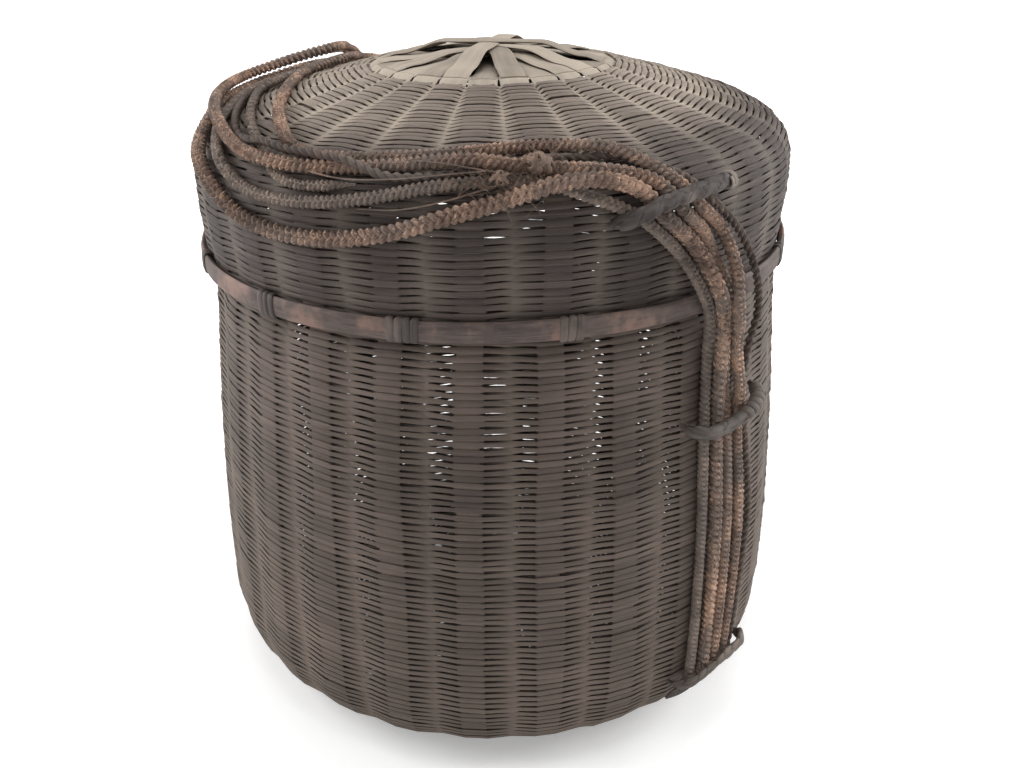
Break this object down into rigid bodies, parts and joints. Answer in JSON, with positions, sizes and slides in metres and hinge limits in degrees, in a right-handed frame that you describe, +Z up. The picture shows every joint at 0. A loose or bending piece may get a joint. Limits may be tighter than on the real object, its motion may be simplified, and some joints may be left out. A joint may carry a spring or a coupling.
{
  "type": "lidded storage basket",
  "caption": "Tall round twined storage basket with a deep domed lid, a lashed rim band and a slack sling of braided cords that the lid slides up.",
  "frame": {"origin": "on the floor under the middle of the basket's standing ring", "axes": "+Z up, the front of the picture towards -Y, +X to the viewer's right"},
  "size_m": [0.4156, 0.4152, 0.4418],
  "materials": {
    "weave_dark": "dull twined plant fibre, darkened",
    "weave_pale": "dull twined plant fibre, dusty",
    "splint": "bare flat splints, weathered grey",
    "rim_wood": "worn brown rim hoop",
    "lashing": "flat split lashing",
    "strap": "wrapped strap, dark and worn",
    "cord_brown": "braided plant cord, hairy",
    "cord_grey": "braided plant cord, dusty grey",
    "cord_dark": "thin twisted cord, dark"
  },
  "bodies": {
    "basket": {"basket_weave": "weave_dark", "base_star": "splint", "mouth_hoop": "rim_wood", "middle_loop_right": "strap", "middle_loop_left": "strap", "base_loop_right": "strap", "base_loop_left": "strap", "side_cord_right_grey": "cord_grey", "side_cord_right_outer": "cord_brown", "side_cord_right_top": "cord_brown", "side_cord_right_inner": "cord_brown", "side_cord_right_thin": "cord_dark", "side_cord_left_grey": "cord_grey", "side_cord_left_outer": "cord_brown", "side_cord_left_top": "cord_brown", "side_cord_left_inner": "cord_brown", "side_cord_left_thin": "cord_dark"},
    "lid": {"lid_weave": "weave_pale", "lid_band": "rim_wood", "band_lashing_01": "lashing", "band_lashing_02": "lashing", "band_lashing_03": "lashing", "band_lashing_04": "lashing", "band_lashing_05": "lashing", "band_lashing_06": "lashing", "band_lashing_07": "lashing", "band_lashing_08": "lashing", "band_lashing_09": "lashing", "band_lashing_10": "lashing", "band_lashing_11": "lashing", "band_lashing_12": "lashing", "band_lashing_13": "lashing", "crown_splint_01": "splint", "crown_splint_02": "splint", "crown_splint_03": "splint", "crown_splint_04": "splint", "crown_splint_05": "splint", "crown_splint_06": "splint", "crown_splint_07": "splint", "crown_splint_08": "splint", "crown_splint_09": "splint", "crown_splint_10": "splint", "crown_splint_11": "splint", "crown_splint_12": "splint", "crown_splint_13": "splint", "shoulder_loop_right": "strap", "shoulder_loop_left": "strap", "handle_cord_grey": "cord_grey", "handle_cord_outer": "cord_brown", "handle_cord_top": "cord_brown", "handle_cord_inner": "cord_brown", "handle_cord_thin": "cord_dark", "handle_cord_branch": "cord_grey"}
  },
  "joints": [
    {"name": "lid_lift", "type": "slide", "parent": "basket", "child": "lid", "axis": [0, 0, 1], "range_m": [0, 0.12], "deforming": ["side_cord_right_grey", "side_cord_right_outer", "side_cord_right_top", "side_cord_right_inner", "side_cord_right_thin", "side_cord_left_grey", "side_cord_left_outer", "side_cord_left_top", "side_cord_left_inner", "side_cord_left_thin"]}
  ]
}
